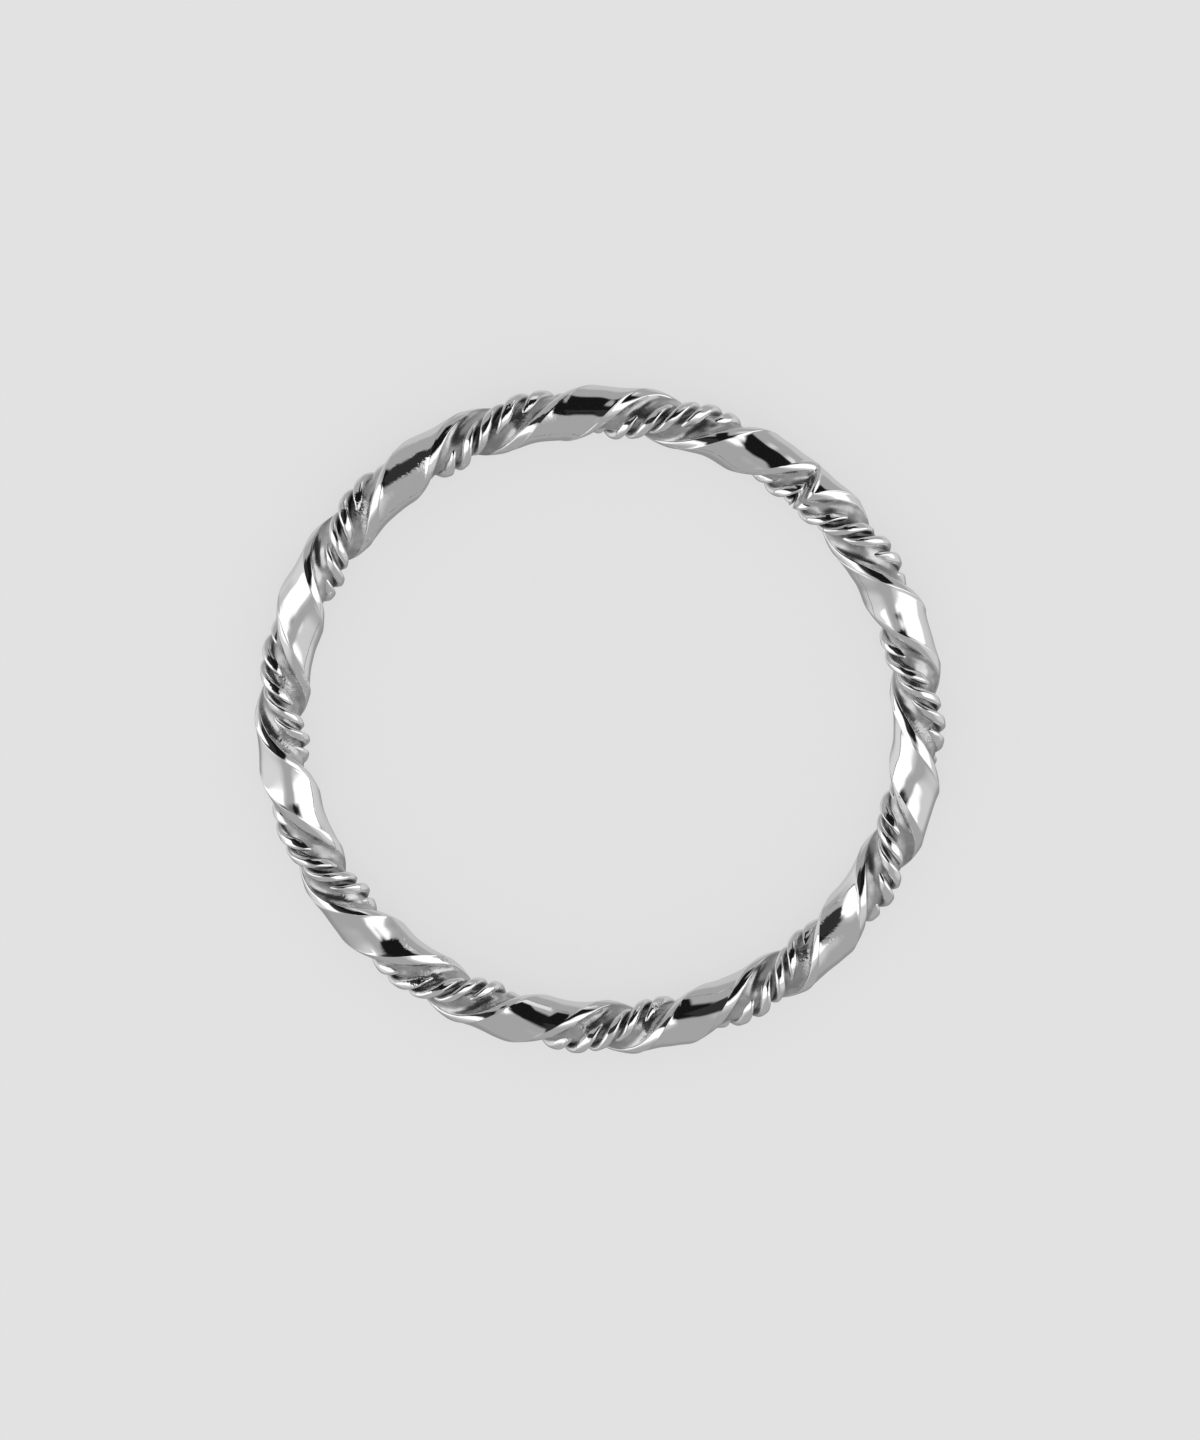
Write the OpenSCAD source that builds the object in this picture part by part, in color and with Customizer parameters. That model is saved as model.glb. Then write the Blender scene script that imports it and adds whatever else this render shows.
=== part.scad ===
// Finger ring of twisted wire: a half round wire and a rope of two fine round strands,
// wound round each other and closed to a hoop at one soldered joint.
// The hoop lies flat: its axis is +Z through the origin, and it rests on Z = 0.
// Ring angles run clockwise from +Y, seen from above.
// Section angles run from straight up towards the outside of the hoop.

/* [Hoop] */
// Inner diameter of the hoop, clear of all wires, as its mean all round
inner_d = 17.3; // [15:0.1:21]
// Thickness of the twist, over the edges of the half round wire and the rope
twist_d = 1.62; // [1.6:0.01:1.7]
// Longest diameter of the hoop less its shortest, as it is a little out of round
out_of_round = 0.23; // [0:0.01:0.4]
// Ring angle of the longest diameter
longest_at = 135; // [0:5:180]

/* [Half round wire] */
// Width across the wire
half_round_w = 1.48; // [1.44:0.01:1.5]
// Radius of the round face
face_r = 0.89; // [0.86:0.01:1]
// Height of the round face over the middle of the twist
face_rise = 0.745; // [0.72:0.005:0.77]
// Rounding of the edges, where the face meets the sides
edge_r = 0.12; // [0.08:0.01:0.16]
// Bevel of the corners, where the sides meet the inner face
corner_bevel = 0.08; // [0.04:0.01:0.1]
// Depth of the hollow in the inner face, in which the rope lies
hollow_depth = 0.04; // [0:0.01:0.06]
// Section angle by which the face leans inwards at the top and the bottom of the hoop
face_lean = 7.6; // [0:0.2:12]

/* [Rope] */
// Diameter of one strand
strand_d = 0.4; // [0.36:0.01:0.41]
// Gap between the two strands
strand_gap = 0.04; // [0.03:0.01:0.06]
// Gap between the rope and the half round wire
wire_gap = 0.04; // [0.03:0.01:0.08]
// Distance from the middle of the twist to the middle of the rope
rope_offset = 0.38; // [0.36:0.005:0.39]

/* [Soldered joint] */
// Ring angle of the joint
joint_at = 40.3; // [36:0.1:60]
// Length of the joint, in degrees of the hoop
joint_len = 2.4; // [1.4:0.1:4]
// Section angle by which the whole twist turns back at the joint
joint_turn = 90; // [60:1:120]

/* [Facets] */
// Sections along the half round wire
half_round_sections = 192; // [120:4:260]
// Points round its face
face_points = 7; // [5:2:11]
// Sections along a strand
strand_sections = 352; // [264:8:400]
// Sides of a strand
strand_sides = 6; // [5:1:6]
// Sections of each wire within the joint
joint_sections = 8; // [6:1:12]

/* [Hidden] */

// Columns of the twist table
RING_ANGLE = 0;
FACE_TURNS = 1;
ROPE_HALF_TURNS = 2;
// One row for each place where the round face turns to the top.
// The turns are uneven, as wound by hand, and the last row is the first one, once round.
twist_table = [
    [-5.6, 0, -1.9],
    [26.7, 1, 5.9],
    [66.7, 2, 15.4],
    [99.6, 3, 23.3],
    [131.1, 4, 31.0],
    [162.8, 5, 38.7],
    [194.2, 6, 46.4],
    [226.4, 7, 54.2],
    [258.0, 8, 61.9],
    [289.8, 9, 69.7],
    [321.8, 10, 77.4],
    [354.4, 11, 85.1]
];
table_end = len(twist_table) - 1;
face_turns = twist_table[table_end][FACE_TURNS] - twist_table[0][FACE_TURNS];
rope_half_turns = twist_table[table_end][ROPE_HALF_TURNS] - twist_table[0][ROPE_HALF_TURNS];
// The strands turn back by one half turn at the joint, so that each meets its own start
joint_half_turns = 1;

twist_r = twist_d / 2;
centre_r = inner_d / 2 + twist_r;
strand_r = strand_d / 2;
// Radius of the rope, and of the circle on which its strands' centres run
rope_r = strand_d + strand_gap / 2;
strand_run_r = strand_r + strand_gap / 2;
// Height of the inner face over the middle of the twist, at its middle and at its corners
hollow_rise = rope_r - rope_offset + wire_gap;
corner_rise = hollow_rise - hollow_depth;
half_w = half_round_w / 2;
// Height of the round face's centre, and the angle at which the face passes into the edge
face_centre = face_rise - face_r;
edge_angle = asin((half_w - edge_r) / (face_r - edge_r));
// A strand runs at an angle through the section, which makes its cut longer than round
strand_slope = strand_run_r * (rope_half_turns - joint_half_turns) / 2 / centre_r;
strand_stretch = sqrt(1 + strand_slope * strand_slope);

// Value of a table column with the rows before the first and after the last, once round
function row_at(i) = twist_table[(i + table_end) % table_end];
function rounds_at(i) = i < 0 ? -1 : (i >= table_end ? 1 : 0);
function ring_angle_at(i) = row_at(i)[RING_ANGLE] + 360 * rounds_at(i);
function main_angle_at(i) =
    let (row = row_at(i))
    360 * row[FACE_TURNS]
    + (row[RING_ANGLE] > joint_at ? joint_turn : 0)
    + (360 * face_turns + joint_turn) * rounds_at(i);
function rope_angle_at(i) =
    180 * (row_at(i)[ROPE_HALF_TURNS] + rope_half_turns * rounds_at(i));

// Smooth curve through four neighbouring values at four ring angles, between the middle two
function smooth(a, at, values) =
    let (
        span = at[2] - at[1],
        t = (a - at[1]) / span,
        slope_1 = (values[2] - values[0]) / (at[2] - at[0]),
        slope_2 = (values[3] - values[1]) / (at[3] - at[1])
    )
    values[1] * (2 * t ^ 3 - 3 * t ^ 2 + 1)
    + slope_1 * span * (t ^ 3 - 2 * t ^ 2 + t)
    + values[2] * (3 * t ^ 2 - 2 * t ^ 3)
    + slope_2 * span * (t ^ 3 - t ^ 2);

// Number of the last row at or before a ring angle
function row_before(a, i = 0) = (i < table_end - 1 && ring_angle_at(i + 1) <= a) ? row_before(a, i + 1) : i;

// Share of the turn back that is done at a ring angle within one round
function joint_share(a) =
    let (t = max(0, min(1, (a - joint_at) / joint_len + 0.5)))
    t * t * (3 - 2 * t);

// Section angles of the round face and of the first strand at a ring angle from 0 to 360
function both_angles(a) =
    let (
        b = a < twist_table[table_end][RING_ANGLE] ? a : a - 360,
        i = row_before(b),
        rows = [i - 1, i, i + 1, i + 2],
        at = [for (k = rows) ring_angle_at(k)],
        share = joint_share(a),
        rounds = b < a ? 1 : 0,
        face = smooth(b, at, [for (k = rows) main_angle_at(k)])
            + (360 * face_turns + joint_turn) * rounds
            - joint_turn * share,
        strand = smooth(b, at, [for (k = rows) rope_angle_at(k)])
            + 180 * rope_half_turns * rounds
            - 180 * joint_half_turns * share
    )
    [face - face_lean * cos(face), strand + 90];

// Point of a section: its distances towards a section angle and a quarter turn past it
function out_and_up(angle, towards, past) =
    [towards * sin(angle) + past * cos(angle), towards * cos(angle) - past * sin(angle)];
function on_hoop(a, p) =
    let (r = centre_r + out_of_round / 4 * cos(2 * (a - longest_at)) + p[0])
    [r * sin(a), r * cos(a), p[1]];

// Ring angles of the sections: even steps round the hoop, and finer ones in the joint
function section_angles(count) =
    let (joint_start = joint_at - joint_len / 2, joint_end = joint_at + joint_len / 2)
    [
        for (i = [0 : joint_sections - 1]) joint_start + joint_len * i / joint_sections,
        for (i = [0 : count - 1]) (joint_end + (360 - joint_len) * i / count) % 360
    ];

// Point of the rounded edge on one side of the face, at an angle from the face's middle
function edge_point(side, angle) =
    [
        face_centre + (face_r - edge_r) * cos(edge_angle) + edge_r * cos(angle),
        side * (half_w - edge_r + edge_r * sin(angle))
    ];
function inner_point(s) =
    [hollow_rise - hollow_depth * s * s, (half_w - corner_bevel) * s];

// Half round section, as distances towards the face and across it
half_round_outline = [
    for (i = [0 : face_points - 1])
        let (angle = edge_angle * (2 * i / (face_points - 1) - 1))
        [face_centre + face_r * cos(angle), face_r * sin(angle)],
    edge_point(1, (edge_angle + 90) / 2),
    edge_point(1, 90),
    [corner_rise + corner_bevel, half_w],
    for (s = [1 : -0.5 : -1]) inner_point(s),
    [corner_rise + corner_bevel, -half_w],
    edge_point(-1, 90),
    edge_point(-1, (edge_angle + 90) / 2)
];

function half_round_section(a) =
    let (face = both_angles(a)[0])
    [for (p = half_round_outline) on_hoop(a, out_and_up(face, p[0], p[1]))];

function strand_section(a, half_turn) =
    let (
        angles = both_angles(a),
        middle = out_and_up(angles[0] + 180, rope_offset, 0),
        strand = angles[1] + 180 * half_turn
    )
    [
        for (i = [0 : strand_sides - 1])
            let (
                t = 360 * i / strand_sides,
                towards = strand_run_r + strand_r * cos(t),
                past = strand_r * strand_stretch * sin(t)
            )
            on_hoop(a, middle + out_and_up(strand, towards, past))
    ];

half_round_rings = [for (a = section_angles(half_round_sections)) half_round_section(a)];
strand_a_rings = [for (a = section_angles(strand_sections)) strand_section(a, 0)];
strand_b_rings = [for (a = section_angles(strand_sections)) strand_section(a, 1)];

// The middle of the hoop is lifted so that its lowest point is on Z = 0
lowest = min([
    for (rings = [half_round_rings, strand_a_rings, strand_b_rings])
        for (ring = rings)
            for (p = ring) p[2]
]);

// Closed loop of wire through a list of sections
module wire_loop(rings) {
    n = len(rings);
    m = len(rings[0]);
    points = [for (ring = rings) for (p = ring) p];
    faces = [
        for (i = [0 : n - 1])
            for (j = [0 : m - 1])
                let (
                    a = i * m + j,
                    b = i * m + (j + 1) % m,
                    c = ((i + 1) % n) * m + (j + 1) % m,
                    d = ((i + 1) % n) * m + j
                )
                each [[a, b, d], [b, c, d]]
    ];
    translate([0, 0, -lowest]) polyhedron(points = points, faces = faces, convexity = 10);
}

// Wire of half round section, with its round face outwards all the way
module half_round_wire() {
    color("silver") wire_loop(half_round_rings);
}

// First fine round wire of the rope
module rope_strand_a() {
    color("lightgray") wire_loop(strand_a_rings);
}

// Second fine round wire of the rope, half a turn round from the first
module rope_strand_b() {
    color("gainsboro") wire_loop(strand_b_rings);
}

half_round_wire();
rope_strand_a();
rope_strand_b();
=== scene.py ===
"""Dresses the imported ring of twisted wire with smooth, polished wires in a plain studio.

The three wires of the frame are redrawn finely from the same named sizes as in the part's
source, in millimetres and degrees. Ring angles run clockwise from +Y, seen from above.
Section angles run from straight up towards the outside of the hoop.
"""

import logging
import math
from dataclasses import dataclass
from enum import Enum

import bpy
import numpy as np
from mathutils import Matrix, Vector


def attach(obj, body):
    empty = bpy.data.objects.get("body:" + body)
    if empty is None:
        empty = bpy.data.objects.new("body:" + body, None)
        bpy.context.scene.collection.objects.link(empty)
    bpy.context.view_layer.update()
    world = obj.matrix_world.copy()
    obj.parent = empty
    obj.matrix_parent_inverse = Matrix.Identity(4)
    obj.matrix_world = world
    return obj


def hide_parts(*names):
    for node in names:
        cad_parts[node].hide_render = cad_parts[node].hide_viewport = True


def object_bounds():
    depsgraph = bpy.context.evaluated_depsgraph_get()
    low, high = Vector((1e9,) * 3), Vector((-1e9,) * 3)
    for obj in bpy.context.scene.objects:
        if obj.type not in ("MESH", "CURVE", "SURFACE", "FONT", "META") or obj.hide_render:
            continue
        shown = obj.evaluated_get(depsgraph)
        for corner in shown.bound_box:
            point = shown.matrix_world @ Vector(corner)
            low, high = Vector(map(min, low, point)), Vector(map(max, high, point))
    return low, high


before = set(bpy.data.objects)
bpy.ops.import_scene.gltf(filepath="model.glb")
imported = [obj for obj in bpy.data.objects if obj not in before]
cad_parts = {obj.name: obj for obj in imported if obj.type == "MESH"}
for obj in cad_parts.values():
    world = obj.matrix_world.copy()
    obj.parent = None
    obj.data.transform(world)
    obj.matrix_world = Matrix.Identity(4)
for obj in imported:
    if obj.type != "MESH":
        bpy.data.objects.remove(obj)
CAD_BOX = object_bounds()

LOG = logging.getLogger("twisted_ring")
MM = 0.001
WHITE = (1.0, 1.0, 1.0, 1.0)

# Columns of the twist table
RING_ANGLE, FACE_TURNS, ROPE_HALF_TURNS = range(3)

# Sockets of the Mix node, several of which share a name: its two inputs and its output
MIX_FLOAT_IN, MIX_FLOAT_OUT = (2, 3), 0
MIX_COLOUR_IN, MIX_COLOUR_OUT = (6, 7), 2


def linear_colour(hex_colour: str) -> tuple[float, float, float, float]:
    """Turns an sRGB hex colour into the linear colour that a shader takes.

    By sRGB's own curve, a part up to 0.04045 is divided by 12.92. A larger one has 0.055
    added, is divided by 1.055 and is raised to the power 2.4.

    Args:
        hex_colour: Six hex digits after a hash sign.

    Returns:
        Linear red, green and blue, and an alpha of one.
    """
    parts = [int(hex_colour[i : i + 2], 16) / 255 for i in (1, 3, 5)]
    red, green, blue = (
        p / 12.92 if p <= 0.04045 else ((p + 0.055) / 1.055) ** 2.4 for p in parts
    )
    return (red, green, blue, 1.0)


def per_metre(size_mm: float) -> float:
    """Pattern scale on Object coordinates, in metres, for a feature of this many millimetres."""
    return 1 / (size_mm * MM)


def add_node(
    tree: bpy.types.NodeTree,
    kind: str,
    settings: dict[str | int, object] | None = None,
    links: dict[str | int, bpy.types.NodeSocket] | None = None,
) -> bpy.types.Node:
    """Adds one node to a tree with its settings and incoming links.

    Args:
        tree: Node tree of a material or of the world.
        kind: Blender's type name of the node.
        settings: Values by the node's own property, or else by input socket.
        links: Output sockets to join, by input socket.

    Returns:
        The new node.
    """
    node = tree.nodes.new(kind)
    for name, value in (settings or {}).items():
        if isinstance(name, str) and hasattr(node, name):
            setattr(node, name, value)
        else:
            node.inputs[name].default_value = value
    for name, source in (links or {}).items():
        tree.links.new(source, node.inputs[name])
    return node


@dataclass(frozen=True)
class Hoop:
    """The hoop that the middle of the twist follows, lying flat."""

    inner_d: float = 17.3
    twist_d: float = 1.62
    out_of_round: float = 0.23
    longest_at: float = 135.0

    @property
    def centre_r(self) -> float:
        """Mean radius of the middle of the twist."""
        return (self.inner_d + self.twist_d) / 2

    @property
    def length(self) -> float:
        """Length of the way round the hoop, at its mean radius."""
        return 2 * math.pi * self.centre_r

    def place(self, ring_angle: np.ndarray, out: np.ndarray, up: np.ndarray) -> np.ndarray:
        """Puts points of the sections on the hoop.

        The radius is the mean one, plus a quarter of the out-of-round times the cosine of twice
        the angle from the longest diameter, plus the point's own distance outwards.

        Args:
            ring_angle: Ring angle of each point.
            out: Distance outwards from the middle of the twist.
            up: Distance upwards from the middle of the twist.

        Returns:
            Places in millimetres, with one more axis for x, y and z.
        """
        turn = np.radians(ring_angle)
        oval = self.out_of_round / 4 * np.cos(2 * (turn - math.radians(self.longest_at)))
        radius = self.centre_r + oval + out
        return np.stack([radius * np.sin(turn), radius * np.cos(turn), up], axis=-1)


@dataclass(frozen=True)
class Joint:
    """The soldered joint, where the whole twist turns back because its ends miss each other."""

    at: float = 40.3
    length: float = 2.4
    face_turn: float = 90.0
    half_turns: float = 1.0

    def share(self, ring_angle: np.ndarray) -> np.ndarray:
        """Share of the turn back that is done: a smooth step, plus one for each whole round.

        Args:
            ring_angle: Ring angles, of any round.

        Returns:
            The share at each of them.
        """
        rounds = np.floor(ring_angle / 360)
        t = np.clip((ring_angle - 360 * rounds - self.at) / self.length + 0.5, 0, 1)
        return t * t * (3 - 2 * t) + rounds


@dataclass(frozen=True)
class Twist:
    """How the half round wire and the rope wind round each other.

    Each row of the table is a place where the round face turns to the top: its ring angle, the
    turns of the face and the half turns of the rope. The last row is the first one, once round.
    """

    joint: Joint = Joint()
    face_lean: float = 7.6
    rows: tuple[tuple[float, float, float], ...] = (
        (-5.6, 0, -1.9),
        (26.7, 1, 5.9),
        (66.7, 2, 15.4),
        (99.6, 3, 23.3),
        (131.1, 4, 31.0),
        (162.8, 5, 38.7),
        (194.2, 6, 46.4),
        (226.4, 7, 54.2),
        (258.0, 8, 61.9),
        (289.8, 9, 69.7),
        (321.8, 10, 77.4),
        (354.4, 11, 85.1),
    )

    @property
    def rope_turns(self) -> float:
        """Whole turns of the rope in one round of the hoop."""
        half_turns = self.rows[-1][ROPE_HALF_TURNS] - self.rows[0][ROPE_HALF_TURNS]
        return (half_turns - self.joint.half_turns) / 2

    def smooth(self, values: np.ndarray, ring_angle: np.ndarray) -> np.ndarray:
        """Smooth curve through one value for each row, going on alike round after round.

        Between two rows it is the cubic with their values and slopes, where a row's slope is
        that of the line through its two neighbours.

        Args:
            values: One value for each row.
            ring_angle: Ring angles at which the curve is wanted.

        Returns:
            The curve's values.
        """
        at = np.array([row[RING_ANGLE] for row in self.rows])
        last = len(at) - 1
        span, rise = at[-1] - at[0], values[-1] - values[0]
        wide_at = np.concatenate([[at[last - 1] - span], at, [at[1] + span]])
        wide = np.concatenate([[values[last - 1] - rise], values, [values[1] + rise]])
        slope = (wide[2:] - wide[:-2]) / (wide_at[2:] - wide_at[:-2])
        rounds = np.floor((ring_angle - at[0]) / span)
        inside = ring_angle - span * rounds
        i = np.clip(np.searchsorted(at, inside, side="right") - 1, 0, last - 1)
        step = at[i + 1] - at[i]
        t = (inside - at[i]) / step
        return (
            values[i] * (2 * t**3 - 3 * t**2 + 1)
            + slope[i] * step * (t**3 - 2 * t**2 + t)
            + values[i + 1] * (3 * t**2 - 2 * t**3)
            + slope[i + 1] * step * (t**3 - t**2)
            + rise * rounds
        )

    def face_angle(self, ring_angle: np.ndarray) -> np.ndarray:
        """Section angle of the round face.

        It is the smooth curve through the table's turns, with the joint's turn added to the
        rows past it, less the share of that turn that is done. The face then leans inwards by
        the lean times the cosine of the angle.

        Args:
            ring_angle: Ring angles.

        Returns:
            The face's section angles.
        """
        rows = np.array(self.rows)
        past_joint = rows[:, RING_ANGLE] > self.joint.at
        turns = 360 * rows[:, FACE_TURNS] + np.where(past_joint, self.joint.face_turn, 0)
        face = self.smooth(turns, ring_angle) - self.joint.face_turn * self.joint.share(ring_angle)
        return face - self.face_lean * np.cos(np.radians(face))

    def strand_angle(self, ring_angle: np.ndarray) -> np.ndarray:
        """Section angle of the first strand about the rope's middle."""
        half_turns = self.smooth(np.array(self.rows)[:, ROPE_HALF_TURNS], ring_angle)
        return 90 + 180 * (half_turns - self.joint.half_turns * self.joint.share(ring_angle))

    def section_angles(self, count: int, joint_count: int) -> np.ndarray:
        """Ring angles of the sections: even steps round the hoop, and finer ones in the joint.

        Args:
            count: Sections outside the joint.
            joint_count: Sections within it.

        Returns:
            Ring angles from the joint's start, once round.
        """
        start = self.joint.at - self.joint.length / 2
        within = start + self.joint.length * np.arange(joint_count) / joint_count
        rest = start + self.joint.length + (360 - self.joint.length) * np.arange(count) / count
        return np.concatenate([within, rest])


@dataclass(frozen=True)
class Unevenness:
    """Slight waves that rolling, drawing and winding by hand leave on a wire."""

    depth: float
    wave: float
    seed: int
    waves: int = 40
    fewest: float = 0.3
    round_waves: int = 3

    def height(self, ring_angle: np.ndarray, round_share: np.ndarray, length: float) -> np.ndarray:
        """Height of the waves over the even surface.

        It is a sum of cosines of whole numbers of waves along the hoop and round the section,
        each with a phase of its own, scaled so that it is usually within the depth. Along the
        hoop there are at most as many as fit, and at least the fewest's share of them.

        Args:
            ring_angle: Ring angle of each section, as a column.
            round_share: Share of the way round the section, as a row.
            length: Length of the way round the hoop, which sets how many waves fit along it.

        Returns:
            Heights in millimetres, one row for each section.
        """
        rng = np.random.default_rng(self.seed)
        most = length / self.wave
        along = rng.integers(int(most * self.fewest), int(most), self.waves)
        across = rng.integers(-self.round_waves, self.round_waves + 1, self.waves)
        phase = rng.uniform(0, 2 * math.pi, self.waves)
        total = np.zeros(np.broadcast_shapes(ring_angle.shape, round_share.shape))
        for k_along, k_across, shift in zip(along, across, phase):
            total = total + np.cos(
                k_along * np.radians(ring_angle) + 2 * math.pi * k_across * round_share + shift
            )
        return self.depth * total / math.sqrt(self.waves)


@dataclass(frozen=True)
class TorchMarks:
    """Places along the hoop where the torch left the silver and its solder grainy.

    Each row is one place: its ring angle, and how far it reaches either way.
    """

    rows: tuple[tuple[float, float], ...] = (
        (33.0, 2.5),
        (42.0, 2.5),
        (92.5, 3.0),
        (138.0, 4.0),
        (170.0, 3.5),
        (185.0, 3.5),
        (200.0, 3.0),
        (214.0, 3.0),
        (233.0, 3.5),
        (266.0, 4.0),
        (278.0, 2.5),
        (313.0, 2.0),
        (346.0, 2.5),
    )

    def share(self, ring_angle: np.ndarray) -> np.ndarray:
        """Share of the full grain: the highest of the places' bell curves.

        Args:
            ring_angle: Ring angles.

        Returns:
            The share at each of them.
        """
        at, reach = np.array(self.rows).T
        away = (ring_angle[..., None] - at + 180) % 360 - 180
        return np.exp(-((away / reach) ** 2)).max(axis=-1)


@dataclass(frozen=True)
class Skin:
    """A closed surface as a grid: a row for each section, a column for each point round it.

    Crevice and grain are shares at its points, or at each row or column alike. Length and
    girth are the millimetres along the wire and round its section.
    """

    points: np.ndarray
    crevice: np.ndarray
    grain: np.ndarray
    length: float
    girth: float

    def mesh(
        self, name: str, low: np.ndarray, scale: np.ndarray, base: np.ndarray
    ) -> bpy.types.Mesh:
        """Makes the mesh of the grid, closed both ways, with its faces outwards.

        The map named Wire holds the millimetres along the wire and round its section.

        Args:
            name: Name of the mesh.
            low: Lowest corner of all the drawn wires, in millimetres.
            scale: Factor along each axis that fits the drawn wires into the frame's box.
            base: Corner of the frame's box on which the lowest corner comes to lie, in metres.

        Returns:
            The mesh, in metres.
        """
        rows, columns = self.points.shape[:2]
        i, j = (g.ravel() for g in np.mgrid[0:rows, 0:columns])
        i_next, j_next = (i + 1) % rows, (j + 1) % columns
        corners = ((i, j), (i_next, j), (i_next, j_next), (i, j_next))
        quads = np.stack([row * columns + column for row, column in corners], axis=-1)
        places = (self.points.reshape(-1, 3) - low) * scale * MM + base
        mesh = bpy.data.meshes.new(name)
        mesh.from_pydata(places.tolist(), [], quads.tolist())
        mesh.update()
        mesh.polygons.foreach_set("use_smooth", np.ones(len(quads), bool))
        along = np.stack([i, i + 1, i + 1, i], axis=-1) * self.length / rows
        round_it = np.stack([j, j, j + 1, j + 1], axis=-1) * self.girth / columns
        wire_map = mesh.uv_layers.new(name="Wire")
        on_wire = np.stack([along, round_it], axis=-1).astype(np.float32)
        wire_map.data.foreach_set("uv", on_wire.ravel())
        # The crevice share darkens the colour there as painted shade, and roughens the metal
        for label, values in (("crevice", self.crevice), ("grain", self.grain)):
            attribute = mesh.attributes.new(label, "FLOAT", "POINT")
            whole = np.broadcast_to(values, (rows, columns))
            attribute.data.foreach_set("value", whole.astype(np.float32).ravel())
        return mesh


def smooth_step(zero_at: float, one_at: float, values: np.ndarray) -> np.ndarray:
    """Zero up to one value and one past the other, either of them the higher, smooth between."""
    t = np.clip((values - zero_at) / (one_at - zero_at), 0, 1)
    return t * t * (3 - 2 * t)


def smooth_loop(points: np.ndarray, steps: int) -> np.ndarray:
    """Smooth closed curve through a few points.

    Between two points b and c, with the neighbours a and d, it is at the share t half of
    2 b + (c - a) t + (2 a - 5 b + 4 c - d) t^2 + (3 b - a - 3 c + d) t^3.

    Args:
        points: The points, one row each.
        steps: Points of the curve for each given one.

    Returns:
        The curve's points.
    """
    a, b, c, d = (np.roll(points, shift, axis=0)[:, None, :] for shift in (1, 0, -1, -2))
    t = (np.arange(steps) / steps)[None, :, None]
    squared, cubed = 2 * a - 5 * b + 4 * c - d, 3 * b - a - 3 * c + d
    curve = 2 * b + (c - a) * t + squared * t**2 + cubed * t**3
    return (curve / 2).reshape(-1, points.shape[1])


@dataclass(frozen=True, kw_only=True)
class WoundPiece:
    """A piece of one section, carried along the hoop and turned with the round face."""

    twist: Twist
    hoop: Hoop
    marks: TorchMarks
    unevenness: tuple[Unevenness, ...]
    sections: int
    joint_sections: int = 60

    def carry(self, line: np.ndarray, crevice: np.ndarray) -> Skin:
        """Carries a closed section along the hoop.

        A point at distances p towards the face and q across it, raised along the section's
        normal by its waves, lies p sin(f) + q cos(f) out and p cos(f) - q sin(f) up, where f
        is the face's section angle.

        Args:
            line: Points of the section, as distances towards the face and across it.
            crevice: How far each of them lies in a crevice.

        Returns:
            The piece's surface.
        """
        angle = self.twist.section_angles(self.sections, self.joint_sections)[:, None]
        tangent = np.roll(line, -1, axis=0) - np.roll(line, 1, axis=0)
        normal = np.stack([tangent[:, 1], -tangent[:, 0]], -1)
        normal /= np.linalg.norm(normal, axis=-1, keepdims=True)
        share = np.arange(len(line))[None, :] / len(line)
        wave = sum(u.height(angle, share, self.hoop.length) for u in self.unevenness)
        p = line[None, :, 0] + normal[None, :, 0] * wave
        q = line[None, :, 1] + normal[None, :, 1] * wave
        face = np.radians(self.twist.face_angle(angle))
        out = p * np.sin(face) + q * np.cos(face)
        up = p * np.cos(face) - q * np.sin(face)
        return Skin(
            self.hoop.place(angle + 0 * out, out, up),
            crevice[None, :],
            self.marks.share(angle),
            self.hoop.length,
            float(np.linalg.norm(np.roll(line, -1, axis=0) - line, axis=-1).sum()),
        )


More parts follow.
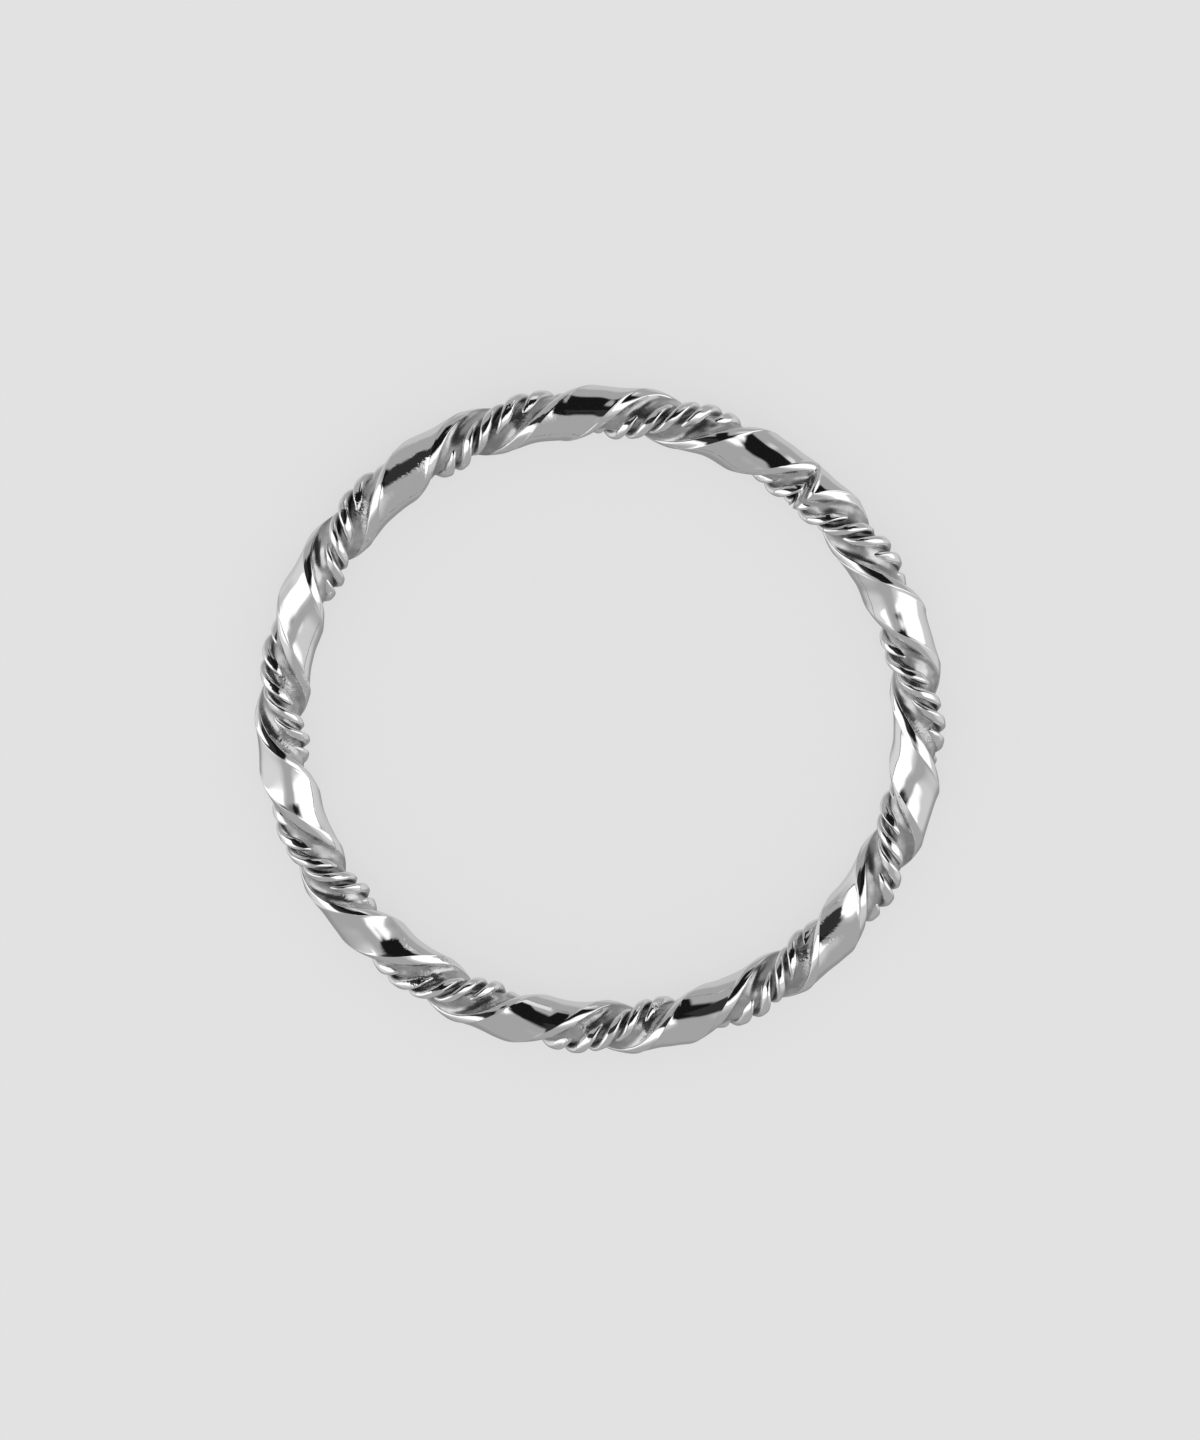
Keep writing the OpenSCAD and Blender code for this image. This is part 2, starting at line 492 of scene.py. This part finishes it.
@dataclass(frozen=True, kw_only=True)
class HalfRoundWire(WoundPiece):
    """The wire of half round section, whose round face looks outwards all the way."""

    inner_rise: float
    node: str = "half_round_wire"
    name: str = "polished_half_round_wire"
    width: float = 1.48
    face_r: float = 0.89
    face_rise: float = 0.745
    edge_r: float = 0.12
    side_r: float = 0.44
    side_lean: float = 18.0
    corner_r: float = 0.08
    hollow_depth: float = 0.04
    # Steps of the outline on the face, the edge, the side and the corner of one half, and on
    # the whole inner face
    half_steps: tuple[int, int, int, int] = (9, 5, 4, 4)
    inner_steps: int = 8
    # Distances from the corners' height and from the middle within which the surface lies
    # beside the rope: none of it at the first one, all of it at the second
    inner_face: tuple[float, float] = (0.12, 0.06)
    rope_reach: tuple[float, float] = (0.72, 0.55)
    marks: TorchMarks = TorchMarks(
        rows=((133.0, 3.0), (211.0, 3.0), (221.0, 2.0), (278.0, 3.0), (324.0, 5.0), (352.0, 3.0))
    )
    sections: int = 1860
    unevenness: tuple[Unevenness, ...] = (
        Unevenness(depth=0.014, wave=2.2, seed=11),
        Unevenness(depth=0.0035, wave=0.8, seed=12, round_waves=5),
    )

    def outline(self) -> np.ndarray:
        """Section as distances towards the face and across it.

        One half is a chain of arcs that pass into each other: the round face, its small edge,
        the slightly bulging side and the inner corner. Each arc goes on from where the last
        one ended by its radius times the change of the cosine and the sine of the angle that
        the surface faces. The other half is its mirror image, and the hollow inner face,
        whose depth falls with the square of the distance from its middle, joins them.

        Returns:
            Points round the section, from the middle of the round face.
        """
        half_w = self.width / 2
        lean = math.radians(self.side_lean)
        side_top = half_w - self.edge_r * math.cos(lean) - self.side_r * (1 - math.cos(lean))
        meet = math.asin(side_top / (self.face_r - self.edge_r))
        radii = (self.face_r, self.edge_r, self.side_r, self.corner_r)
        ends = (0.0, meet, math.pi / 2 - lean, math.pi / 2 + lean, math.pi)
        half = np.array([[self.face_rise, 0.0]])
        for radius, start, end, steps in zip(radii, ends, ends[1:], self.half_steps):
            faced = np.linspace(start, end, steps + 1)[1:]
            move = np.stack([np.cos(faced) - math.cos(start), np.sin(faced) - math.sin(start)], -1)
            half = np.concatenate([half, half[-1] + radius * move])
        s = np.linspace(1, -1, self.inner_steps + 1)[1:-1]
        corner_rise, corner = half[-1]
        inner = np.stack([corner_rise + self.hollow_depth * (1 - s * s), corner * s], -1)
        return np.concatenate([half, inner, (half[1:] * [1, -1])[::-1]])

    def skin(self) -> Skin:
        """Carries the wire's section along the hoop.

        A point is crevice by the product of two smooth steps: one for its height over the
        corners, and one for its distance from the section's middle.

        Returns:
            The wire's surface, with the inner face beside the rope marked as crevice.
        """
        line = self.outline()
        over_corners = line[:, 0] - (self.inner_rise - self.hollow_depth)
        inside = smooth_step(*self.inner_face, over_corners)
        return self.carry(line, inside * smooth_step(*self.rope_reach, np.abs(line[:, 1])))


@dataclass(frozen=True, kw_only=True)
class SolderFilling(WoundPiece):
    """The solder that has run into the rope and into its corners with the half round wire."""

    node: str = ""
    name: str = "flowed_solder_filling"
    marks: TorchMarks = TorchMarks()
    unevenness: tuple[Unevenness, ...] = (
        Unevenness(depth=0.012, wave=0.9, seed=41, round_waves=5),
        Unevenness(depth=0.003, wave=0.3, seed=42, round_waves=9),
    )
    # Half of the section: distances towards the round face and across it, from the middle of
    # the rope's grooves over the hollow corner to the middle of the half round wire's hollow
    half_section: tuple[tuple[float, float], ...] = (
        (-0.53, 0.00),
        (-0.52, 0.12),
        (-0.48, 0.24),
        (-0.40, 0.34),
        (-0.28, 0.42),
        (-0.14, 0.49),
        (-0.02, 0.58),
        (0.055, 0.68),
        (0.09, 0.60),
        (0.10, 0.30),
        (0.10, 0.00),
    )
    steps: int = 3
    # How far the corners count as crevice, and the distances from the middle between which
    # the rope ends and they begin
    corner_crevice: float = 0.6
    corner_from: tuple[float, float] = (0.28, 0.42)
    sections: int = 1400

    def outline(self) -> np.ndarray:
        """Whole section, from the round face's side: the half, mirrored, as a smooth curve.

        Returns:
            Points round the section, as distances towards the face and across it.
        """
        half = np.array(self.half_section)[::-1]
        mirrored = (half * [1, -1])[-2:0:-1]
        return smooth_loop(np.concatenate([half, mirrored]), self.steps)

    def skin(self) -> Skin:
        """Carries the filling's section along the hoop.

        Returns:
            The surface, marked as crevice: wholly in the rope, and less in the corners.
        """
        line = self.outline()
        in_corner = smooth_step(*self.corner_from, np.abs(line[:, 1]))
        return self.carry(line, 1 - (1 - self.corner_crevice) * in_corner)


@dataclass(frozen=True, kw_only=True)
class RopeStrand:
    """One of the two fine round strands of the rope in the half round wire's hollow."""

    twist: Twist
    hoop: Hoop
    half_turn: int
    node: str
    name: str
    unevenness: tuple[Unevenness, ...]
    marks: TorchMarks = TorchMarks()
    thickness: float = 0.40
    run_r: float = 0.22
    rope_offset: float = 0.38
    # Distances from the rope's middle, and section angles from the round face, at which the
    # surface is open, and then at which it is wholly crevice
    groove: tuple[float, float] = (0.34, 0.25)
    corner: tuple[float, float] = (92.0, 62.0)
    sections: int = 3600
    joint_sections: int = 60
    points: int = 26

    def skin(self) -> Skin:
        """Carries a circle, stretched as the strand's slant cuts it, along the hoop.

        A point at an angle t round the strand lies r + w cos(t) from the rope's middle towards
        the strand's section angle, and s w sin(t) past it, with the radius r of the run, the
        strand's own radius w and the stretch s. It is crevice by the larger of two smooth
        steps: one for its distance from the rope's middle, and one for its section angle from
        the round face.

        Returns:
            The strand's surface, with the places near the solder marked as crevice.
        """
        angle = self.twist.section_angles(self.sections, self.joint_sections)[:, None]
        round_share = (np.arange(self.points) / self.points)[None, :]
        slope = self.run_r * self.twist.rope_turns / self.hoop.centre_r
        stretch = math.sqrt(1 + slope * slope)
        wave = sum(u.height(angle, round_share, self.hoop.length) for u in self.unevenness)
        width = self.thickness / 2 + wave
        towards = self.run_r + width * np.cos(2 * math.pi * round_share)
        past = stretch * width * np.sin(2 * math.pi * round_share)

        face = np.radians(self.twist.face_angle(angle))
        ridge = np.radians(self.twist.strand_angle(angle) + 180 * self.half_turn)
        sunk = -self.rope_offset
        out = sunk * np.sin(face) + towards * np.sin(ridge) + past * np.cos(ridge)
        up = sunk * np.cos(face) + towards * np.cos(ridge) - past * np.sin(ridge)
        from_face = ridge + np.arctan2(past, towards) - face
        from_face = np.degrees(np.abs((from_face + math.pi) % (2 * math.pi) - math.pi))
        in_groove = smooth_step(*self.groove, np.hypot(towards, past))
        in_corner = smooth_step(*self.corner, from_face)
        return Skin(
            self.hoop.place(angle + 0 * out, out, up),
            np.maximum(in_groove, in_corner),
            self.marks.share(angle),
            self.hoop.length * stretch,
            math.pi * self.thickness,
        )


@dataclass(frozen=True)
class BuffedSilver:
    """Sterling silver, drawn or rolled to wire, soldered and buffed.

    The eye gets clear, slightly wavy mirror images on the high places, fine lines along the
    wire from the buffing, and rougher metal with small pits where the mop can't reach, whose
    colour is darkened there as painted shade, partly tarnish.
    """

    name: str
    bright: str = "#f3f3f3"
    # Colour in the crevices: painted shade, partly tarnish
    shade_and_tarnish: str = "#949494"
    roughness: float = 0.05
    dull_roughness: float = 0.36
    blotch_mm: float = 0.9
    blotch_range: tuple[float, float] = (0.35, 0.65)
    least_blotch: float = 0.35
    line_mm: float = 0.05
    line_length_mm: float = 2.0
    line_depth_mm: float = 0.0004
    pit_mm: float = 0.16
    pit_depth_mm: float = 0.003
    pit_range: tuple[float, float] = (0.18, 0.42)
    pitted_dullness: tuple[float, float] = (0.25, 0.9)
    grain_mm: float = 0.11
    grain_depth_mm: float = 0.0
    grain_range: tuple[float, float] = (0.38, 0.52)

    def material(self) -> bpy.types.Material:
        """Builds the material's nodes: colour darkened by crevice as painted shade, partly
        tarnish, roughness by crevice, lines and pits as bump.

        Returns:
            The material.
        """
        material = bpy.data.materials.new(self.name)
        material.use_nodes = True
        tree = material.node_tree
        tree.nodes.clear()
        place = add_node(tree, "ShaderNodeTexCoord")
        wire = add_node(tree, "ShaderNodeUVMap", {"uv_map": "Wire"})
        crevice = add_node(tree, "ShaderNodeAttribute", {"attribute_name": "crevice"})

        # Painted shade, partly tarnish, and dullness spread unevenly from the crevices, in
        # blotches
        blotches = add_node(
            tree,
            "ShaderNodeTexNoise",
            {"Scale": per_metre(self.blotch_mm), "Detail": 3.0, "Roughness": 0.6},
            {"Vector": place.outputs["Object"]},
        )
        spread = add_node(
            tree,
            "ShaderNodeMapRange",
            {
                "From Min": self.blotch_range[0],
                "From Max": self.blotch_range[1],
                "To Min": self.least_blotch,
            },
            {"Value": blotches.outputs["Fac"]},
        )
        shade_and_dullness = add_node(
            tree,
            "ShaderNodeMath",
            {"operation": "MULTIPLY"},
            {0: crevice.outputs["Fac"], 1: spread.outputs["Result"]},
        )
        # Painted shade: the crevices take the darker colour, partly tarnish
        colour = add_node(
            tree,
            "ShaderNodeMix",
            {
                "data_type": "RGBA",
                MIX_COLOUR_IN[0]: linear_colour(self.bright),
                MIX_COLOUR_IN[1]: linear_colour(self.shade_and_tarnish),
            },
            {0: shade_and_dullness.outputs[0]},
        )
        roughness = add_node(
            tree,
            "ShaderNodeMapRange",
            {"To Min": self.roughness, "To Max": self.dull_roughness},
            {"Value": shade_and_dullness.outputs[0]},
        )

        # Buffing lines are finer than a pixel, so they are drawn a few times too wide. The
        # noise has one cell along each line, and one across each pair of lines.
        line_place = add_node(
            tree,
            "ShaderNodeMapping",
            {"Scale": (1 / self.line_length_mm, 1 / (2 * self.line_mm), 1.0)},
            {"Vector": wire.outputs["UV"]},
        )
        lines = add_node(
            tree,
            "ShaderNodeTexNoise",
            {"Scale": 1.0, "Detail": 2.0},
            {"Vector": line_place.outputs["Vector"]},
        )
        line_bump = add_node(
            tree,
            "ShaderNodeBump",
            {"Distance": self.line_depth_mm * MM},
            {"Height": lines.outputs["Fac"]},
        )

        # Pits, where the metal is dull
        cells = add_node(
            tree,
            "ShaderNodeTexVoronoi",
            {"feature": "F1", "Scale": per_metre(self.pit_mm), "Randomness": 1.0},
            {"Vector": place.outputs["Object"]},
        )
        pit = add_node(
            tree,
            "ShaderNodeMapRange",
            {
                "interpolation_type": "SMOOTHSTEP",
                "From Min": self.pit_range[0],
                "From Max": self.pit_range[1],
            },
            {"Value": cells.outputs["Distance"]},
        )
        pit_strength = add_node(
            tree,
            "ShaderNodeMapRange",
            {"From Min": self.pitted_dullness[0], "From Max": self.pitted_dullness[1]},
            {"Value": shade_and_dullness.outputs[0]},
        )
        pit_bump = add_node(
            tree,
            "ShaderNodeBump",
            {"Distance": self.pit_depth_mm * MM},
            {
                "Strength": pit_strength.outputs["Result"],
                "Height": pit.outputs["Result"],
                "Normal": line_bump.outputs["Normal"],
            },
        )

        # Grain from the torch's heat, with smoother spots in it
        grain = add_node(
            tree,
            "ShaderNodeTexNoise",
            {"Scale": per_metre(self.grain_mm), "Detail": 1.0},
            {"Vector": place.outputs["Object"]},
        )
        heated = add_node(tree, "ShaderNodeAttribute", {"attribute_name": "grain"})
        spots = add_node(
            tree,
            "ShaderNodeMapRange",
            {"From Min": self.grain_range[0], "From Max": self.grain_range[1]},
            {"Value": blotches.outputs["Fac"]},
        )
        grain_strength = add_node(
            tree,
            "ShaderNodeMath",
            {"operation": "MULTIPLY"},
            {0: heated.outputs["Fac"], 1: spots.outputs["Result"]},
        )
        grain_bump = add_node(
            tree,
            "ShaderNodeBump",
            {"Distance": self.grain_depth_mm * MM},
            {
                "Strength": grain_strength.outputs[0],
                "Height": grain.outputs["Fac"],
                "Normal": pit_bump.outputs["Normal"],
            },
        )
        surface = add_node(
            tree,
            "ShaderNodeBsdfPrincipled",
            {"Metallic": 1.0},
            {
                "Base Color": colour.outputs[MIX_COLOUR_OUT],
                "Roughness": roughness.outputs["Result"],
                "Normal": grain_bump.outputs["Normal"],
            },
        )
        add_node(tree, "ShaderNodeOutputMaterial", links={"Surface": surface.outputs["BSDF"]})
        return material


class SilverSlot(Enum):
    """The record's material slots."""

    HALF_ROUND = "half_round_silver"
    STRAND = "strand_silver"


@dataclass
class TwistedRing:
    """The ring: one half round wire and a rope of two strands, each a closed loop."""

    hoop: Hoop = Hoop()
    twist: Twist = Twist()
    wire_gap: float = 0.04
    inset_m: float = 1e-8
    # Broad, clear mirror images, which only the finest lines and waves disturb
    half_round_finish: BuffedSilver = BuffedSilver(
        "rolled_and_buffed_silver", grain_depth_mm=0.008
    )
    # Narrow bright streaks on the ridges, over grooves painted nearly black as shade
    strand_finish: BuffedSilver = BuffedSilver(
        "drawn_and_buffed_silver", bright="#f6f6f6", shade_and_tarnish="#5c5c5c", grain_depth_mm=0.02
    )
    # Blurred, uneven greys, as the solder has set in its own skin out of the mop's reach,
    # with painted shade darkening it in the rope and its corners
    solder_finish: BuffedSilver = BuffedSilver(
        "flowed_silver_solder",
        bright="#ececec",
        shade_and_tarnish="#606060",
        roughness=0.16,
        dull_roughness=0.42,
        grain_depth_mm=0.03,
    )

    def parts(self) -> list[HalfRoundWire | RopeStrand | SolderFilling]:
        """Makes the ring's pieces, with the half round wire set clear of the rope.

        Returns:
            The half round wire, the strands and the solder between them.
        """
        strands = [
            RopeStrand(
                twist=self.twist,
                hoop=self.hoop,
                half_turn=k,
                node=f"rope_strand_{letter}",
                name=f"polished_rope_strand_{letter}",
                unevenness=(
                    Unevenness(depth=0.010, wave=1.2, seed=21 + k, round_waves=1),
                    Unevenness(depth=0.002, wave=0.4, seed=31 + k),
                ),
            )
            for k, letter in enumerate("ab")
        ]
        rope_r = strands[0].run_r + strands[0].thickness / 2
        inner_rise = rope_r - strands[0].rope_offset + self.wire_gap
        half_round = HalfRoundWire(twist=self.twist, hoop=self.hoop, inner_rise=inner_rise)
        return [half_round, *strands, SolderFilling(twist=self.twist, hoop=self.hoop)]

    def build(self) -> None:
        """Draws each wire over its node and the solder between, fitted to the frame's box.

        The smooth wires reach about a thousandth further sideways than the faceted solids,
        and nearly three hundredths further in height, so all of them together are scaled to
        the box along each axis.
        """
        parts = self.parts()
        skins = [part.skin() for part in parts]
        low = np.min([s.points.reshape(-1, 3).min(axis=0) for s in skins], axis=0)
        high = np.max([s.points.reshape(-1, 3).max(axis=0) for s in skins], axis=0)
        box_low, box_high = (np.array(corner) for corner in CAD_BOX)
        scale = (box_high - box_low - 2 * self.inset_m) / ((high - low) * MM)
        LOG.info("fitted to the frame's box by %s", np.round(scale, 5).tolist())
        dresses: dict[type, tuple[bpy.types.Material, SilverSlot]] = {
            HalfRoundWire: (self.half_round_finish.material(), SilverSlot.HALF_ROUND),
            RopeStrand: (self.strand_finish.material(), SilverSlot.STRAND),
            SolderFilling: (self.solder_finish.material(), SilverSlot.STRAND),
        }
        for part, skin in zip(parts, skins):
            material, slot = dresses[type(part)]
            mesh = skin.mesh(part.name, low, scale, box_low + self.inset_m)
            mesh.materials.append(material)
            piece = bpy.data.objects.new(part.name, mesh)
            bpy.context.scene.collection.objects.link(piece)
            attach(piece, "root")
            if part.node:
                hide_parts(part.node)
            LOG.info("%s: %d faces", part.name, len(mesh.polygons))


@dataclass(frozen=True)
class Card:
    """A board or softbox of the studio, as the polished wires see it.

    It is an even rectangle with soft edges. Its middle lies at an angle away from the line to
    the camera, at a clock angle from the picture's top. Its width and height are angles too,
    and soft is the share of them, either way, over which it fades.
    """

    name: str
    clock: float
    away: float
    width: float
    height: float
    brightness: float
    soft: float
    roll: float = 0.0


@dataclass
class Studio:
    """Plain pale floor, soft light all round, and the boards that the silver reflects."""

    tilt: float = 15.0
    lens: float = 500.0
    sensor: float = 36.0
    frame_h_mm: float = 42.75
    look_up_mm: float = 0.027
    clip_near: float = 0.1
    clip_far: float = 4.0
    floor_half_size: float = 0.8
    pale: str = "#e2e2e2"
    glow: float = 0.82
    room: float = 0.40
    cards: tuple[Card, ...] = (
        Card("pale sweep behind the ring", 14, 151, 130, 72, 0.58, soft=0.35),
        Card("dim sweep under the ring", 174, 157, 84, 56, 0.31, soft=0.5),
        Card("left bounce sheet", 256, 83, 58, 114, 0.72, roll=-20, soft=0.6),
        Card("left softbox", 259, 60, 38, 66, 1.2, roll=-22, soft=0.15),
        Card("right bounce sheet", 105, 73, 60, 104, 0.65, roll=17, soft=0.4),
        Card("right softbox", 100, 55, 38, 80, 1.2, roll=20, soft=0.22),
        Card("strip light above", 26, 68, 22, 20, 0.8, soft=0.4),
        Card("dark behind the camera", 350, 13, 60, 50, 0.008, roll=-10, soft=0.3),
        Card("dark above the camera", 356, 47, 16, 42, 0.008, soft=0.25),
        Card("dark at the upper right", 52, 27, 28, 62, 0.008, roll=8, soft=0.15),
        Card("dark at the upper left", 291, 31, 24, 56, 0.03, roll=-10, soft=0.15),
    )

    @property
    def axes(self) -> tuple[np.ndarray, np.ndarray, np.ndarray]:
        """The picture's axes, which the tilt leans back from the ring's own.

        Returns:
            The picture's right, its up, and the direction from the ring to the camera.
        """
        t = math.radians(self.tilt)
        right = np.array([1.0, 0.0, 0.0])
        up = np.array([0.0, math.cos(t), -math.sin(t)])
        back = np.array([0.0, math.sin(t), math.cos(t)])
        return right, up, back

    def build_floor(self) -> None:
        """Lays the pale floor: a milky sheet that is lit from below as well as from above.

        The eye gets an even, pale ground with a faint shadow. The polished wires see the room
        below them instead of the sheet.
        """
        h = self.floor_half_size
        mesh = bpy.data.meshes.new("floor")
        mesh.from_pydata([(-h, -h, 0), (h, -h, 0), (h, h, 0), (-h, h, 0)], [], [(0, 1, 2, 3)])
        floor = bpy.data.objects.new("floor", mesh)
        bpy.context.scene.collection.objects.link(floor)
        material = bpy.data.materials.new("back_lit_milky_acrylic")
        material.use_nodes = True
        tree = material.node_tree
        tree.nodes.clear()
        matt = add_node(tree, "ShaderNodeBsdfDiffuse", {"Color": WHITE})
        lit = add_node(tree, "ShaderNodeEmission", {"Color": linear_colour(self.pale)})
        sheet = add_node(
            tree,
            "ShaderNodeMixShader",
            {0: self.glow},
            {1: matt.outputs["BSDF"], 2: lit.outputs["Emission"]},
        )
        add_node(tree, "ShaderNodeOutputMaterial", links={"Surface": sheet.outputs["Shader"]})
        mesh.materials.append(material)
        floor.visible_glossy = False

    def card_mask(
        self, tree: bpy.types.NodeTree, direction: bpy.types.NodeSocket, card: Card
    ) -> bpy.types.NodeSocket:
        """Nodes that give one on a card, zero off it and a soft edge between.

        With the direction's parts along the card's own three axes, the mask is the product of
        a smooth step for the sideways part over the forward part, one for the upward part over
        the forward part, and one where the forward part is positive.

        Args:
            tree: The world's node tree.
            direction: Socket with the direction of a ray.
            card: The card.

        Returns:
            The mask's socket.
        """
        right, up, back = self.axes
        clock, away, roll = (math.radians(a) for a in (card.clock, card.away, card.roll))
        outwards = right * math.sin(clock) + up * math.cos(clock)
        forward = back * math.cos(away) + outwards * math.sin(away)
        above = outwards * math.cos(away) - back * math.sin(away)
        beside = np.cross(above, forward)
        sides = (
            (beside * math.cos(roll) + above * math.sin(roll), card.width),
            (above * math.cos(roll) - beside * math.sin(roll), card.height),
        )
        ahead = add_node(
            tree,
            "ShaderNodeVectorMath",
            {"operation": "DOT_PRODUCT", 1: tuple(forward)},
            {0: direction},
        )
        mask = add_node(
            tree,
            "ShaderNodeMath",
            {"operation": "GREATER_THAN", 1: 0.0},
            {0: ahead.outputs["Value"]},
        ).outputs[0]
        for axis, size in sides:
            part = add_node(
                tree,
                "ShaderNodeVectorMath",
                {"operation": "DOT_PRODUCT", 1: tuple(axis)},
                {0: direction},
            )
            slant = add_node(
                tree,
                "ShaderNodeMath",
                {"operation": "DIVIDE"},
                {0: part.outputs["Value"], 1: ahead.outputs["Value"]},
            )
            size_of_slant = add_node(
                tree, "ShaderNodeMath", {"operation": "ABSOLUTE"}, {0: slant.outputs[0]}
            )
            reach = math.tan(math.radians(size / 2))
            edge = add_node(
                tree,
                "ShaderNodeMapRange",
                {
                    "interpolation_type": "SMOOTHSTEP",
                    "From Min": reach * (1 + card.soft),
                    "From Max": reach * (1 - card.soft),
                },
                {"Value": size_of_slant.outputs[0]},
            )
            mask = add_node(
                tree,
                "ShaderNodeMath",
                {"operation": "MULTIPLY"},
                {0: mask, 1: edge.outputs["Result"]},
            ).outputs[0]
        return mask

    def build_world(self) -> None:
        """Makes the room: pale and even for the floor and the eye, with cards for the silver.

        Each card is laid over the room and the cards before it by its mask.
        """
        world = bpy.data.worlds.new("studio")
        bpy.context.scene.world = world
        world.use_nodes = True
        tree = world.node_tree
        tree.nodes.clear()
        place = add_node(tree, "ShaderNodeTexCoord")
        ray = add_node(tree, "ShaderNodeLightPath")
        seen: bpy.types.NodeSocket | None = None
        for card in self.cards:
            mask = self.card_mask(tree, place.outputs["Generated"], card)
            mix = add_node(
                tree,
                "ShaderNodeMix",
                {
                    "data_type": "FLOAT",
                    MIX_FLOAT_IN[0]: self.room,
                    MIX_FLOAT_IN[1]: card.brightness,
                },
                {0: mask},
            )
            if seen is not None:
                tree.links.new(seen, mix.inputs[MIX_FLOAT_IN[0]])
            seen = mix.outputs[MIX_FLOAT_OUT]
        boards = add_node(tree, "ShaderNodeBackground", links={"Color": seen})
        even = add_node(tree, "ShaderNodeBackground", {"Color": linear_colour(self.pale)})
        both = add_node(
            tree,
            "ShaderNodeMixShader",
            links={
                0: ray.outputs["Is Glossy Ray"],
                1: even.outputs["Background"],
                2: boards.outputs["Background"],
            },
        )
        add_node(tree, "ShaderNodeOutputWorld", links={"Surface": both.outputs["Shader"]})

    def build_camera(self) -> None:
        """Sets the camera far off on the line of the picture, with a long lens.

        The distance is the lens times the height of the picture at the ring over the sensor.
        """
        right, up, back = self.axes
        centre = (np.array(CAD_BOX[0]) + np.array(CAD_BOX[1])) / 2
        distance = self.lens * self.frame_h_mm / self.sensor * MM
        place = centre + up * self.look_up_mm * MM + back * distance
        data = bpy.data.cameras.new("camera")
        data.lens = self.lens
        data.sensor_width = self.sensor
        data.clip_start = distance * self.clip_near
        data.clip_end = distance * self.clip_far
        camera = bpy.data.objects.new("camera", data)
        bpy.context.scene.collection.objects.link(camera)
        turn = Matrix((right, up, back)).transposed().to_4x4()
        camera.matrix_world = Matrix.Translation(Vector(place)) @ turn
        bpy.context.scene.camera = camera

    def build(self) -> None:
        """Builds the floor, the room and the camera."""
        self.build_floor()
        self.build_world()
        self.build_camera()
        bpy.context.scene.view_settings.view_transform = "Standard"
        LOG.info("studio with %d cards", len(self.cards))


def main() -> None:
    """Builds the ring and then the studio, and reports each piece."""
    logging.basicConfig(level=logging.INFO, format="%(name)s: %(message)s")
    ring = TwistedRing()
    ring.build()
    Studio().build()


if __name__ == "__main__":
    main()
